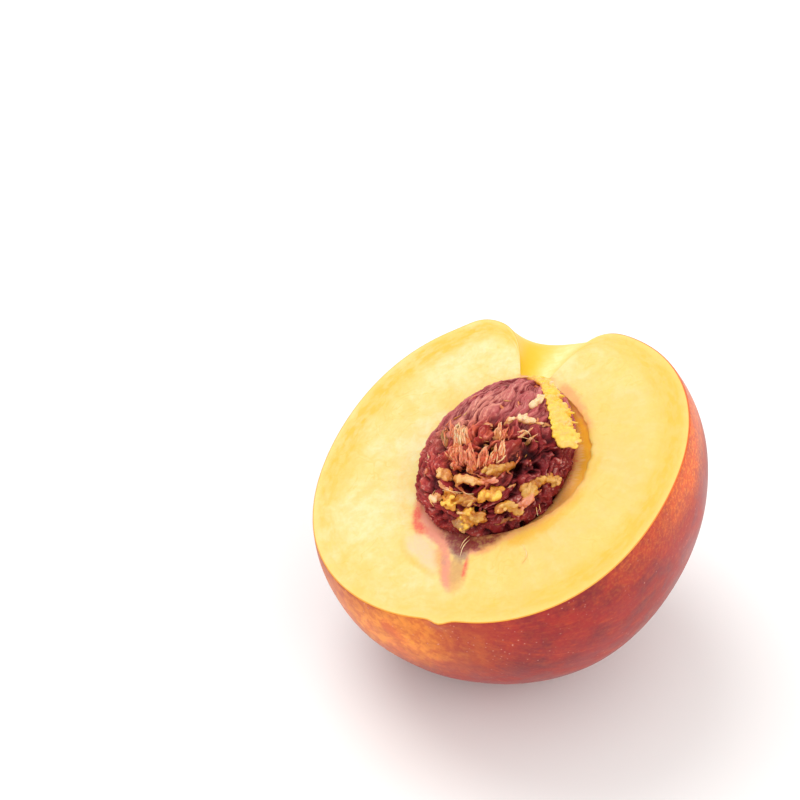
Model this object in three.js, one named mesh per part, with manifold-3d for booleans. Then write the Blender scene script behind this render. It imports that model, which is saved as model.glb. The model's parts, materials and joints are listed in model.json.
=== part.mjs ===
// Half a nectarine, cut open beside its stone, with the stone still seated in the flesh.
//
// Units are millimetres. The shapes are worked out in the fruit's own frame: origin in the middle of
// the cut face, +Y towards the stem, +X across the face and +Z out of it. A leaning group then sets
// the half down in the part's frame: +Z up, origin in the middle of the small flat spot it rests on.
import * as THREE from 'three';
import { ImprovedNoise } from 'three/addons/math/ImprovedNoise.js';
import { mergeVertices } from 'three/addons/utils/BufferGeometryUtils.js';
import Module from 'manifold-3d';

// The whole fruit is nearly a ball, and the knife passed well to one side of its middle.
const fruit = {
  faceRadius: 34.05,
  cutOffset: 8.3, // from the ball's middle to the cut face
  swell: { // gentle departures of the cut outline from a circle, by turns round the face
    cos1: 0.75, cos4: -0.53, sin1: -0.58, sin2: 0.5, sin4: -0.19,
  },
  backLean: { x: -3.6, y: 2 }, // how far the round back leans over, from straight behind the face
};

// The stem cavity: a pit with a small floor, whose wall flares out to two shoulders. The -X shoulder
// stands proud and the +X one is worn down. The pit is squeezed front to back, more towards +X.
const cavity = {
  turn: -0.3, // degrees from +Y, towards +X
  depth: 13.9, flareDepth: 61, flareAngle: 6.53, flarePower: 1.26,
  squeeze: 1.31, squeezeLean: 0.03, leanLimit: 20,
  highShoulder: { height: 0.62, turn: 25.2, spread: 5.3 },
  lowShoulder: { height: -0.54, turn: 24.3, spread: 11.8 },
};

// The blossom end: a shallow dent with a small point in its middle.
const blossomEnd = { dentDepth: 0.6, dentAngle: 12, pointHeight: 0.9, pointAngle: 3 };

// The stone: an egg, narrow towards the stem, with a keel along its +X edge and wandering furrows.
const stone = {
  x: -0.9, y: 2, z: 0.2,
  turn: 9, // degrees that its narrow end turns from +Y towards +X
  halfWidth: 13.4, halfLength: 16.7, halfThickness: 8.2,
  stemTaper: 0.12,
  keelHeight: 0.5, keelAngle: 13,
  furrowDepth: 1.8,
  furrowsAcross: 0.29, furrowsAlong: 0.11, // noise cells for each millimetre
  furrowWander: 2.4, // millimetres
};

// The hollow that the stone grew in follows the stone closely, and stands off it on the +X side,
// where the flesh has let go and left a shallow trough.
const hollow = {
  gap: 0.5, looseGap: 3.4, looseTurn: 97, looseSpread: 55, // gaps in mm, turns in degrees
  looseNarrowing: 18,
};

// How the half lies: the stem end turned and the face leaning off level, in degrees.
const lie = { stemTurn: -23.5, leanForward: 8.1, leanLeft: -18.9 };
const flatSpotDepth = 0.9; // how much of the round underside is pressed flat

const mesh = {
  turns: 104, // segments round the cut face
  stemCrowding: 0.58, // 0 spaces them evenly, towards 1 crowds them at the stem
  skinRings: 18, skinCrowding: 1.35,
  faceRings: 2, hollowRings: 8,
  stoneTurns: 84, stoneRings: 46,
};

const radians = THREE.MathUtils.degToRad;
const degrees = THREE.MathUtils.radToDeg;
const bump = (angle, width, power) => Math.exp(-Math.pow(angle / width, power));

const upright = new THREE.Vector3(0, 0, 1);
const blossomWay = new THREE.Vector3(0, -1, 0);

// Distance from the middle of the cut face to the skin, in the direction way (a unit vector).
function skinDistance(way) {
  const { faceRadius, cutOffset, swell, backLean } = fruit;
  const along = -cutOffset * way.z;
  const ball = along + Math.hypot(along, faceRadius);
  const turn = Math.atan2(way.x, way.y);
  const outline = swell.cos1 * Math.cos(turn) + swell.cos4 * Math.cos(4 * turn)
    + swell.sin1 * Math.sin(turn) + swell.sin2 * Math.sin(2 * turn) + swell.sin4 * Math.sin(4 * turn);
  const nearFace = 1 - way.z ** 2;
  const lean = -way.z * (backLean.x * way.x + backLean.y * way.y);
  const fromBlossom = degrees(way.angleTo(blossomWay));
  return ball + nearFace * outline + lean - stemCavityDepth(way)
    - blossomEnd.dentDepth * bump(fromBlossom, blossomEnd.dentAngle, 2)
    + blossomEnd.pointHeight * bump(fromBlossom, blossomEnd.pointAngle, 2);
}

function stemCavityDepth(way) {
  const aside = degrees(Math.atan2(way.x, way.y)) - cavity.turn;
  const leaning = THREE.MathUtils.clamp(aside, -cavity.leanLimit, cavity.leanLimit);
  const behind = degrees(Math.asin(-way.z)) * (cavity.squeeze + cavity.squeezeLean * leaning);
  const pit = cavity.flareDepth * bump(Math.hypot(aside, behind), cavity.flareAngle, cavity.flarePower);
  const { height, turn, spread } = aside < 0 ? cavity.highShoulder : cavity.lowShoulder;
  return Math.min(cavity.depth, pit) - height * bump(Math.hypot(Math.abs(aside) - turn, behind), spread, 2);
}

// A point of the hollow's wall: turn goes round the face, down from 0 at the lip to 1 at the floor.
function hollowPoint(turn, down) {
  const slope = down * Math.PI / 2;
  const stoneTurn = turn - radians(stone.turn);
  const way = new THREE.Vector3(
    Math.cos(slope) * Math.sin(stoneTurn), Math.cos(slope) * Math.cos(stoneTurn), -Math.sin(slope));
  const fromLoose = Math.abs(degrees(turn) - hollow.looseTurn);
  const loose = hollow.looseGap * bump(Math.min(fromLoose, 360 - fromLoose), hollow.looseSpread, 2);
  const gap = hollow.gap + loose * Math.cos(slope) ** hollow.looseNarrowing;
  const point = smoothStonePoint(way).addScaledVector(way, gap);
  return seated(point, stone.z * Math.sin(slope));
}

// Moves a point from the stone's own frame to the fruit's.
function seated(point, height) {
  return point.applyAxisAngle(upright, -radians(stone.turn)).add(new THREE.Vector3(stone.x, stone.y, height));
}

// The half fruit as one closed skin of rings: back of the fruit, rim, cut face, lip, floor of the hollow.
// Each ring is a function of the turn round the face.
function fruitRings() {
  const rings = [];
  const skinAt = (turn, latitude) => {
    const way = new THREE.Vector3(
      Math.cos(latitude) * Math.sin(turn), Math.cos(latitude) * Math.cos(turn), -Math.sin(latitude));
    return way.clone().multiplyScalar(skinDistance(way));
  };
  for (let i = mesh.skinRings; i >= 0; i--) {
    const latitude = Math.PI / 2 * Math.pow(i / mesh.skinRings, mesh.skinCrowding);
    rings.push((turn) => skinAt(turn, latitude));
  }
  for (let i = 1; i <= mesh.faceRings; i++) {
    const inward = i / (mesh.faceRings + 1);
    rings.push((turn) => skinAt(turn, 0).lerp(hollowPoint(turn, 0), inward));
  }
  for (let i = 0; i <= mesh.hollowRings; i++) rings.push((turn) => hollowPoint(turn, i / mesh.hollowRings));
  return rings;
}

// Bends a sphere's rings onto the given ones. The sphere's poles become the first and last ring's middle.
function ringedGeometry(rings, turns, crowding) {
  const shape = new THREE.SphereGeometry(1, turns, rings.length - 1);
  const place = shape.getAttribute('position');
  for (let row = 0; row < rings.length; row++) {
    for (let column = 0; column <= turns; column++) {
      const even = 2 * Math.PI * (column % turns) / turns;
      const point = rings[row](even - crowding * Math.sin(even));
      place.setXYZ(row * (turns + 1) + column, point.x, point.y, point.z);
    }
  }
  return shape;
}

// The stone without its furrows, in its own frame, way being a unit vector from its middle.
function smoothStonePoint(way) {
  const narrow = 1 - stone.stemTaper * way.y;
  return new THREE.Vector3(
    stone.halfWidth * narrow * way.x, stone.halfLength * way.y, stone.halfThickness * narrow * way.z);
}

const grain = new ImprovedNoise();
function stonePoint(way) {
  const point = smoothStonePoint(way);
  const wander = stone.furrowWander * grain.noise(point.x * 0.1, point.y * 0.1, point.z * 0.1 + 7);
  const across = stone.furrowsAcross;
  const furrow = grain.noise(
    (point.x + wander) * across, point.y * stone.furrowsAlong, (point.z - wander) * across);
  const cut = bump(Math.abs(furrow), 0.16, 2) * (1 - Math.pow(Math.abs(way.y), 6));
  const fromKeel = degrees(Math.asin(Math.min(1, Math.abs(way.z))));
  const keel = way.x > 0 ? bump(fromKeel, stone.keelAngle, 2) * (1 - way.y ** 2) : 0;
  const outwards = stone.keelHeight * keel - stone.furrowDepth * cut * (1 - 0.6 * keel);
  return point.addScaledVector(way, outwards);
}

function stoneGeometry() {
  const shape = new THREE.SphereGeometry(1, mesh.stoneTurns, mesh.stoneRings);
  const place = shape.getAttribute('position');
  const way = new THREE.Vector3();
  for (let i = 0; i < place.count; i++) {
    const point = seated(stonePoint(way.fromBufferAttribute(place, i).normalize()), stone.z);
    place.setXYZ(i, point.x, point.y, point.z);
  }
  return shape;
}

// Closed geometry to solid and back, for pressing the flat spot.
const wasm = await Module();
wasm.setup();
function solidOf(geometry) {
  const bare = geometry.clone();
  bare.deleteAttribute('normal');
  bare.deleteAttribute('uv');
  const merged = mergeVertices(bare, 1e-4);
  return new wasm.Manifold(new wasm.Mesh({
    numProp: 3,
    vertProperties: merged.getAttribute('position').array,
    triVerts: new Uint32Array(merged.index.array),
  }));
}
function geometryOf(solid) {
  const { vertProperties, triVerts } = solid.getMesh();
  const shape = new THREE.BufferGeometry()
    .setAttribute('position', new THREE.BufferAttribute(vertProperties, 3))
    .setIndex(new THREE.BufferAttribute(triVerts, 1));
  shape.computeVertexNormals();
  return shape;
}

function piece(name, geometry, colour, roughness) {
  const finish = new THREE.MeshStandardMaterial({ color: colour, roughness, metalness: 0 });
  const made = new THREE.Mesh(geometry, finish);
  made.name = name;
  return made;
}

const leaning = new THREE.Matrix4()
  .makeRotationY(radians(lie.leanLeft))
  .multiply(new THREE.Matrix4().makeRotationX(radians(lie.leanForward)))
  .multiply(new THREE.Matrix4().makeRotationZ(radians(lie.stemTurn)));
const roundHalf = solidOf(ringedGeometry(fruitRings(), mesh.turns, mesh.stemCrowding).applyMatrix4(leaning));

// What lies under the table's top is pressed away, and the part's origin is the middle of that spot.
const tableTop = roundHalf.boundingBox().min[2] + flatSpotDepth;
const table = solidOf(new THREE.BoxGeometry(100, 100, 20).translate(0, 0, tableTop - 10));
const spot = roundHalf.intersect(table).boundingBox();
const setDown = new THREE.Matrix4().makeTranslation(
  -(spot.min[0] + spot.max[0]) / 2, -(spot.min[1] + spot.max[1]) / 2, -tableTop);

const nectarineHalf = new THREE.Group();
nectarineHalf.add(piece(
  'fruit_half', geometryOf(roundHalf.subtract(table)).applyMatrix4(setDown), 0xf6c552, 0.45));
nectarineHalf.add(piece('stone', stoneGeometry().applyMatrix4(setDown.multiply(leaning)), 0x7d2c2c, 0.65));

export default nectarineHalf;
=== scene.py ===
# Half a nectarine with its stone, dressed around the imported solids.
# Shapes are worked out in millimetres in the fruit's own frame, as in the part's source: origin in the
# middle of the cut face, +Y towards the stem, +Z out of the face. partFromFruit sets them down in metres.
import json
import math
import random

import bmesh
import bpy
import numpy as np
from mathutils import Matrix, Vector, noise

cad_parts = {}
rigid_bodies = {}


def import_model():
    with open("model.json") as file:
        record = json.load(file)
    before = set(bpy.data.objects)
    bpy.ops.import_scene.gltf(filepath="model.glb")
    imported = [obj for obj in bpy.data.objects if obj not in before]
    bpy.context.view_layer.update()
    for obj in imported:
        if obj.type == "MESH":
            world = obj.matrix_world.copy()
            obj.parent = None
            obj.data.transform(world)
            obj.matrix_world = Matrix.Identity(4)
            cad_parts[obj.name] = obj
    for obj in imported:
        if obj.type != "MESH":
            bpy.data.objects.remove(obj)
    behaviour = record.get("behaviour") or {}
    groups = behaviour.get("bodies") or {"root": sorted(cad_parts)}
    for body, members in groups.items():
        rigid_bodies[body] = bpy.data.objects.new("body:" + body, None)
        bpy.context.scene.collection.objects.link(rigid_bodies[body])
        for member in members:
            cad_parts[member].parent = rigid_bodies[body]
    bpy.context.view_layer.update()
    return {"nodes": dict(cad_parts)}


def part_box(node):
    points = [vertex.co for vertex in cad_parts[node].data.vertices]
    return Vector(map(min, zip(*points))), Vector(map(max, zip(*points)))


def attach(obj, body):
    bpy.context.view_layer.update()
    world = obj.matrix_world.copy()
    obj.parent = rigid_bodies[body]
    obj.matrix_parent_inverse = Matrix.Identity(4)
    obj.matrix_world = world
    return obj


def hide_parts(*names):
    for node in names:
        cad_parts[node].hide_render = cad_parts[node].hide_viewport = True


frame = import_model()
print("frame loaded:", ", ".join(frame["nodes"]))


# Helpers for shapes.
def bump(away, width, power=2):
    return np.exp(-np.power(np.abs(away) / width, power))


def smoothStep(low, high, value):
    share = np.clip((value - low) / (high - low), 0, 1)
    return share * share * (3 - 2 * share)


def xyz(x, y, z):
    return np.stack(np.broadcast_arrays(x, y, z), -1)


def grain(points, cell, shift=0.0):
    # Perlin noise from -1 to 1; cell is its size in millimetres, one number or one for each axis
    flat = (points.reshape(-1, 3) / cell + shift).tolist()
    return np.array([noise.noise(p) for p in flat]).reshape(points.shape[:-1])


def turnsFrom(turn, middle):
    # how many degrees a turn is from a middle one, going the short way round
    return (np.degrees(turn) - middle + 180) % 360 - 180


# The fruit's own frame and outside.
lie = {"stemTurn": -23.5, "leanForward": 8.1, "leanLeft": -18.9}  # degrees


def rotation(degrees, axis):
    return Matrix.Rotation(math.radians(degrees), 4, axis)


leaning = rotation(lie["leanLeft"], "Y") @ rotation(lie["leanForward"], "X") @ rotation(lie["stemTurn"], "Z")

fruit = {
    "faceRadius": 34.05,
    "cutOffset": 8.3,  # from the ball's middle to the cut face
    "cos1": 0.75, "cos4": -0.53, "sin1": -0.58, "sin2": 0.5, "sin4": -0.19,  # swell of the outline
    "backLeanX": -3.6, "backLeanY": 2.0,
    "lumps": 0.12, "lumpSize": 9.0,
}
cavity = {
    "turn": -0.3, "depth": 13.9, "flareDepth": 61.0, "flareAngle": 6.53, "flarePower": 1.26,
    "squeeze": 1.31, "squeezeLean": 0.03, "leanLimit": 20.0,
    "highShoulder": (0.62, 25.2, 5.3), "lowShoulder": (-0.54, 24.3, 11.8),  # height, turn and spread
    "wrinkles": 0.012, "wrinkleSize": 1.6, "wrinkleStretch": 0.15, "wrinkleSpread": 17, "floorBlend": 0.5,
}
blossomEnd = {"dentDepth": 0.6, "dentAngle": 12.0, "pointHeight": 0.9, "pointAngle": 3.0}


def wayOf(turn, latitude):
    # unit vectors: turn goes round the face from the stem, latitude from 0 at the rim down to 90 degrees
    return xyz(np.cos(latitude) * np.sin(turn), np.cos(latitude) * np.cos(turn), -np.sin(latitude))


def stemCavityDepth(way):
    aside = np.degrees(np.arctan2(way[..., 0], way[..., 1])) - cavity["turn"]
    lean = cavity["squeezeLean"] * np.clip(aside, -cavity["leanLimit"], cavity["leanLimit"])
    behind = np.degrees(np.arcsin(-way[..., 2])) * (cavity["squeeze"] + lean)
    pit = cavity["flareDepth"] * bump(np.hypot(aside, behind), cavity["flareAngle"], cavity["flarePower"])
    curve = cavity["floorBlend"]  # the floor meets the wall in a small curve
    pit = pit - curve * np.logaddexp(0, (pit - cavity["depth"]) / curve)
    for side, (height, turn, spread) in ((-1, cavity["highShoulder"]), (1, cavity["lowShoulder"])):
        pit = pit - height * bump(np.hypot(aside - side * turn, behind), spread)
    return pit


def skinDistance(way):
    along = -fruit["cutOffset"] * way[..., 2]
    ball = along + np.hypot(along, fruit["faceRadius"])
    turn = np.arctan2(way[..., 0], way[..., 1])
    outline = (fruit["cos1"] * np.cos(turn) + fruit["cos4"] * np.cos(4 * turn) + fruit["sin1"] * np.sin(turn)
               + fruit["sin2"] * np.sin(2 * turn) + fruit["sin4"] * np.sin(4 * turn))
    lean = -way[..., 2] * (fruit["backLeanX"] * way[..., 0] + fruit["backLeanY"] * way[..., 1])
    fromBlossom = np.degrees(np.arccos(np.clip(-way[..., 1], -1, 1)))
    return (ball + (1 - way[..., 2] ** 2) * outline + lean - stemCavityDepth(way)
            - blossomEnd["dentDepth"] * bump(fromBlossom, blossomEnd["dentAngle"])
            + blossomEnd["pointHeight"] * bump(fromBlossom, blossomEnd["pointAngle"]))


def skinPoint(turn, latitude):
    way = wayOf(turn, latitude)
    inside = np.sin(np.minimum(latitude * 6, math.pi / 2))  # the rim itself keeps its true outline
    lumps = fruit["lumps"] * grain(way * fruit["faceRadius"], fruit["lumpSize"], 3) * inside
    fromStem = np.degrees(np.arccos(np.clip(way[..., 1], -1, 1)))
    streaky = xyz(way[..., 0], way[..., 2], way[..., 1] * cavity["wrinkleStretch"])
    wrinkles = cavity["wrinkles"] * grain(streaky * fruit["faceRadius"], cavity["wrinkleSize"], 9)
    wrinkles = wrinkles * bump(fromStem, cavity["wrinkleSpread"]) * inside
    return way * (skinDistance(way) + lumps + wrinkles)[..., None]


# The solid's box and the same surface's box, both at rest, give the move from one to the other.
def fruitPlace():
    turn, latitude = np.meshgrid(np.radians(np.arange(0, 360, 0.5)), np.radians(np.arange(0, 90, 0.5)))
    surface = (wayOf(turn, latitude) * skinDistance(wayOf(turn, latitude))[..., None]).reshape(-1, 3)
    surface = surface @ np.array(leaning.to_3x3()).T / 1000
    low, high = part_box("fruit_half")
    sides = [(low[i] + high[i] - surface[:, i].min() - surface[:, i].max()) / 2 for i in (0, 1)]
    return Vector((*sides, high[2] - surface[:, 2].max()))


faceMiddle = fruitPlace()
partFromFruit = Matrix.Translation(faceMiddle) @ leaning @ Matrix.Scale(0.001, 4)
print("middle of the cut face, mm:", [round(v * 1000, 2) for v in faceMiddle])


def addObject(name, data):
    made = bpy.data.objects.new(name, data)
    bpy.context.scene.collection.objects.link(made)
    return made


# Camera, lights and floor.
camera = {
    "distance": 0.6, "elevation": 42.0, "lens": 154.4, "sensor": 36.0,  # metres, degrees, mm
    "frame": 800, "faceMiddlePixel": (500, 468),
}


def makeCamera():
    cam = addObject("camera", bpy.data.cameras.new("camera"))
    cam.data.lens = camera["lens"]
    cam.data.sensor_width = camera["sensor"]
    cam.data.clip_start = 0.01
    turn = Matrix.Rotation(math.radians(90 - camera["elevation"]), 3, "X")
    pixel = camera["distance"] * camera["sensor"] / camera["lens"] / camera["frame"]
    aside = (camera["faceMiddlePixel"][0] - camera["frame"] / 2) * pixel
    below = (camera["faceMiddlePixel"][1] - camera["frame"] / 2) * pixel
    cam.rotation_euler = turn.to_euler()
    cam.location = faceMiddle + turn @ Vector((-aside, below, camera["distance"]))
    bpy.context.scene.camera = cam


studio = {
    "ambient": (1, 0.985, 0.96, 1), "ambientPower": 0.93,
    "lamps": {  # size, watts and place
        "key": (0.6, 2.7, (-0.25, 0.30, 0.70)), "fill": (0.9, 2.4, (0.50, -0.55, 0.45)),
    },
    "aim": (0, 0, 0.03),
    "floorSize": 3, "floorDrop": 0.0002, "floorPaint": (0.93, 0.93, 0.93, 1), "floorRoughness": 0.8,
}


def areaLight(name, size, power, place):
    lamp = addObject(name, bpy.data.lights.new(name, "AREA"))
    lamp.data.shape = "DISK"
    lamp.data.size = size
    lamp.data.energy = power
    lamp.location = place
    lamp.rotation_euler = (Vector(place) - Vector(studio["aim"])).to_track_quat("Z", "Y").to_euler()


def makeStudio():
    world = bpy.data.worlds.new("studio")
    bpy.context.scene.world = world
    world.use_nodes = True
    background = world.node_tree.nodes["Background"]
    background.inputs["Color"].default_value = studio["ambient"]
    background.inputs["Strength"].default_value = studio["ambientPower"]
    for name, lamp in studio["lamps"].items():
        areaLight(name, *lamp)
    bpy.context.scene.view_settings.view_transform = "Standard"
    floorShape = bmesh.new()
    bmesh.ops.create_grid(floorShape, x_segments=1, y_segments=1, size=studio["floorSize"])
    floorMesh = bpy.data.meshes.new("floor")
    floorShape.to_mesh(floorMesh)
    floorShape.free()
    floor = addObject("floor", floorMesh)
    floor.location.z = -studio["floorDrop"]
    paint = bpy.data.materials.new("floor white")
    paint.use_nodes = True
    shader = paint.node_tree.nodes["Principled BSDF"]
    shader.inputs["Base Color"].default_value = studio["floorPaint"]
    shader.inputs["Roughness"].default_value = studio["floorRoughness"]
    floorMesh.materials.append(paint)


makeCamera()
makeStudio()
print("camera, lights and floor made")


# Helpers for materials.
def fill(tree, node, inputs):
    # sets each input to a value, or links a socket to it
    for name, value in inputs.items():
        if isinstance(value, bpy.types.NodeSocket):
            tree.links.new(value, node.inputs[name])
        else:
            node.inputs[name].default_value = value


def addNode(tree, kind, inputs=None, **settings):
    node = tree.nodes.new(kind)
    for name, value in settings.items():
        setattr(node, name, value)
    fill(tree, node, inputs or {})
    return node


def maths(tree, operation, first, second=0.5, clamp=False):
    node = addNode(tree, "ShaderNodeMath", {0: first, 1: second}, operation=operation, use_clamp=clamp)
    return node.outputs[0]


def times(tree, first, second, clamp=False):
    return maths(tree, "MULTIPLY", first, second, clamp)


def plus(tree, first, second):
    return maths(tree, "ADD", first, second)


def between(tree, value, low, high, outLow=0.0, outHigh=1.0):
    ranged = addNode(tree, "ShaderNodeMapRange", {
        "Value": value, "From Min": low, "From Max": high, "To Min": outLow, "To Max": outHigh},
        interpolation_type="SMOOTHSTEP")
    return ranged.outputs["Result"]


def blend(tree, share, first, second, mode="MIX"):
    # colours as sockets or (r, g, b)
    def full(colour):
        return colour if isinstance(colour, bpy.types.NodeSocket) else (*colour, 1)
    mixed = addNode(tree, "ShaderNodeMix", data_type="RGBA", blend_type=mode)
    fill(tree, mixed, {0: share, 6: full(first), 7: full(second)})
    return mixed.outputs[2]


def layered(tree, colour, *layers):
    # lays paints over a colour one after the other, each with its own share
    for share, paint in layers:
        colour = blend(tree, share, colour, paint)
    return colour


def noiseOf(tree, place, scale, detail, rough, distortion=0.0):
    cloud = addNode(tree, "ShaderNodeTexNoise", {
        "Vector": place, "Scale": scale, "Detail": detail, "Roughness": rough, "Distortion": distortion})
    return cloud.outputs["Fac"]


def mask(tree, name):
    return addNode(tree, "ShaderNodeAttribute", attribute_name=name).outputs["Fac"]


def field(tree, name):
    return addNode(tree, "ShaderNodeAttribute", attribute_name=name).outputs["Vector"]


def newGroup(name, vector, values, result, kind="NodeSocketFloat"):
    # a group with one vector input, some numbers with their usual values, and one output
    group = bpy.data.node_groups.new(name, "ShaderNodeTree")
    group.interface.new_socket(vector, in_out="INPUT", socket_type="NodeSocketVector")
    for title, value in values.items():
        socket = group.interface.new_socket(title, in_out="INPUT", socket_type="NodeSocketFloat")
        socket.default_value = value
    group.interface.new_socket(result, in_out="OUTPUT", socket_type=kind)
    return group, addNode(group, "NodeGroupInput").outputs, addNode(group, "NodeGroupOutput")


def useGroup(tree, group, inputs):
    return addNode(tree, "ShaderNodeGroup", inputs, node_tree=group).outputs[0]


def newMaterial(name):
    made = bpy.data.materials.new(name)
    made.use_nodes = True
    tree = made.node_tree
    place = addNode(tree, "ShaderNodeTexCoord").outputs["Object"]
    return made, tree, tree.nodes["Principled BSDF"], place


def makeMottle():
    # cloudy patches: a soft noise whose cells are Size metres across, stretched to a 0 to 1 mask
    group, given, result = newGroup(
        "mottle", "Vector", {"Size": 0.004, "Detail": 4.0, "Low": 0.4, "High": 0.6}, "Mask")
    scale = maths(group, "DIVIDE", 1.0, given["Size"])
    cloud = noiseOf(group, given["Vector"], scale, given["Detail"], 0.6, 0.3)
    fill(group, result, {"Mask": between(group, cloud, given["Low"], given["High"])})
    return group


def makeFineRelief():
    # a fine noise turned into a normal
    group, given, result = newGroup(
        "fine relief", "Vector", {"Size": 0.0008, "Height": 0.00005, "Strength": 0.5},
        "Normal", "NodeSocketVector")
    scale = maths(group, "DIVIDE", 1.0, given["Size"])
    relief = addNode(group, "ShaderNodeBump", {
        "Height": noiseOf(group, given["Vector"], scale, 5.0, 0.65),
        "Distance": given["Height"], "Strength": given["Strength"]})
    fill(group, result, {"Normal": relief.outputs["Normal"]})
    return group


def makeRays():
    # streaks that run out from the stone or the stem: noise that is fine around and long outwards
    group, given, result = newGroup(
        "rays", "Rays", {"Around": 40.0, "Outwards": 3.0, "Low": 0.4, "High": 0.6}, "Mask")
    parts = addNode(group, "ShaderNodeSeparateXYZ", {"Vector": given["Rays"]}).outputs
    stretched = addNode(group, "ShaderNodeCombineXYZ", {
        "X": times(group, parts["X"], given["Around"]),
        "Y": times(group, parts["Y"], given["Around"]),
        "Z": times(group, parts["Z"], given["Outwards"])})
    streak = noiseOf(group, stretched.outputs["Vector"], 1.0, 3.0, 0.55)
    fill(group, result, {"Mask": between(group, streak, given["Low"], given["High"])})
    return group


mottle = makeMottle()
fineRelief = makeFineRelief()
rays = makeRays()


def mottled(tree, place, size, low=0.4, high=0.6, detail=4.0):
    return useGroup(tree, mottle, {
        "Vector": place, "Size": size, "Detail": detail, "Low": low, "High": high})


def rayed(tree, around, outwards, low=0.4, high=0.6, name="rays"):
    return useGroup(tree, rays, {
        "Rays": field(tree, name), "Around": around, "Outwards": outwards, "Low": low, "High": high})


def relieved(tree, place, size, height, strength):
    return useGroup(tree, fineRelief, {
        "Vector": place, "Size": size, "Height": height, "Strength": strength})


# The stone's smooth shape, which the hollow follows.
stone = {
    "x": -0.9, "y": 2.0, "z": 0.2, "turn": 9.0,
    "halfWidth": 13.4, "halfLength": 16.7, "halfThickness": 8.2, "stemTaper": 0.12,
}


def smoothStone(way):
    narrow = 1 - stone["stemTaper"] * way[..., 1]
    return xyz(stone["halfWidth"] * narrow * way[..., 0], stone["halfLength"] * way[..., 1],
               stone["halfThickness"] * narrow * way[..., 2])


def seated(points, height=stone["z"]):
    # from the stone's own frame to the fruit's
    turn = math.radians(stone["turn"])
    x, y, z = points[..., 0], points[..., 1], points[..., 2]
    return xyz(x * math.cos(turn) + y * math.sin(turn) + stone["x"],
               y * math.cos(turn) - x * math.sin(turn) + stone["y"], z + height)


def alongAcross(points, middle, angle):
    # how far points lie from a middle along a direction, in degrees from +X, and across it
    turn = math.radians(angle)
    right, up = points[:, 0] - middle[0], points[:, 1] - middle[1]
    return right * math.cos(turn) + up * math.sin(turn), up * math.cos(turn) - right * math.sin(turn)


# The half fruit: hollow, cut face and skin in one closed mesh.
half = {
    "turns": 400, "stemCrowding": 0.5,
    "hollowRows": 50, "hollowCrowding": 1.3, "faceRows": 92, "faceCrowding": 0.08,
    "skinRows": 92, "skinCrowding": 1.5, "skinStart": 0.012,  # radians behind the rim
    "gap": -0.35, "looseGap": 3.95, "looseTurn": 91.0, "looseSpread": 46.0, "looseNarrowing": 110.0,
    "skinThick": 0.13, "rimDrop": 0.1,
    "lipRound": 0.8, "lipTear": 0.3, "tearSize": 2.6,
    "wallFibres": 0.34, "fibresRound": 14, "fibresDown": 3, "fibreSize": 0.9, "fineFibreSize": 0.4,
    "dishDepth": 0.45, "dishTurn": -131.0, "dishSpread": 42.0, "dishWidth": 5.5,
    "knifeWaves": 0.07, "knifeWaveSize": 6.0, "fleshGrain": 0.035, "grainSize": 1.3, "fineGrainSize": 0.6,
}


def looseness(turn):
    return bump(turnsFrom(turn, half["looseTurn"]), half["looseSpread"])


def hollowPoint(turn, down):
    slope = down * math.pi / 2
    way = wayOf(turn - math.radians(stone["turn"]), slope)
    loose = looseness(turn)
    fibreField = xyz(np.sin(turn) * half["fibresRound"], np.cos(turn) * half["fibresRound"],
                     down * half["fibresDown"])
    fibres = grain(fibreField, half["fibreSize"]) + 0.5 * grain(fibreField, half["fineFibreSize"], 5)
    tear = half["lipTear"] * grain(fibreField, half["tearSize"], 11) * (1 - down)
    narrowing = math.cos(slope) ** half["looseNarrowing"]
    gap = half["gap"] + loose * (half["looseGap"] + half["wallFibres"] * fibres + tear) * narrowing
    point = smoothStone(way) + way * gap[..., None]
    drop = 0.45 * half["lipRound"] * loose * (1 - down) ** 3
    return seated(point, stone["z"] * math.sin(slope)) - xyz(0, 0, drop)


def facePoint(turn, share):
    # share runs from 0 at the lip to 1 at the skin
    lip = hollowPoint(turn, 0.0)
    rimWay = skinPoint(turn, np.float64(0))
    rim = rimWay * (1 - half["skinThick"] / np.linalg.norm(rimWay, axis=-1, keepdims=True))
    point = lip + (rim - lip) * share
    width = np.linalg.norm((rim - lip)[..., :2], axis=-1)
    fromLip = width * share
    fromRim = width * (1 - share)
    point[..., 2] = faceRelief(point, turn, fromLip, fromRim)
    return point


def faceRelief(point, turn, fromLip, fromRim):
    flat = point * (1, 1, 0)
    loose = looseness(turn)
    settled = smoothStep(0, 1.5, fromLip) * smoothStep(0, 0.8, fromRim)
    waves = half["knifeWaves"] * grain(flat, half["knifeWaveSize"], 2)
    rough = grain(flat, half["grainSize"], 4) + 0.6 * grain(flat, half["fineGrainSize"], 6)
    rough = half["fleshGrain"] * rough
    lip = -0.45 * half["lipRound"] * loose * np.exp(-fromLip / (0.55 * half["lipRound"]))
    dish = -half["dishDepth"] * dishMask(turn, fromLip)
    return (waves + rough) * settled + lip + dish * smoothStep(0, 0.5, fromRim)


def dishMask(turn, fromLip):
    return (bump(turnsFrom(turn, half["dishTurn"]), half["dishSpread"], 3)
            * (1 - smoothStep(0.45 * half["dishWidth"], half["dishWidth"], fromLip)))


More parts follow.
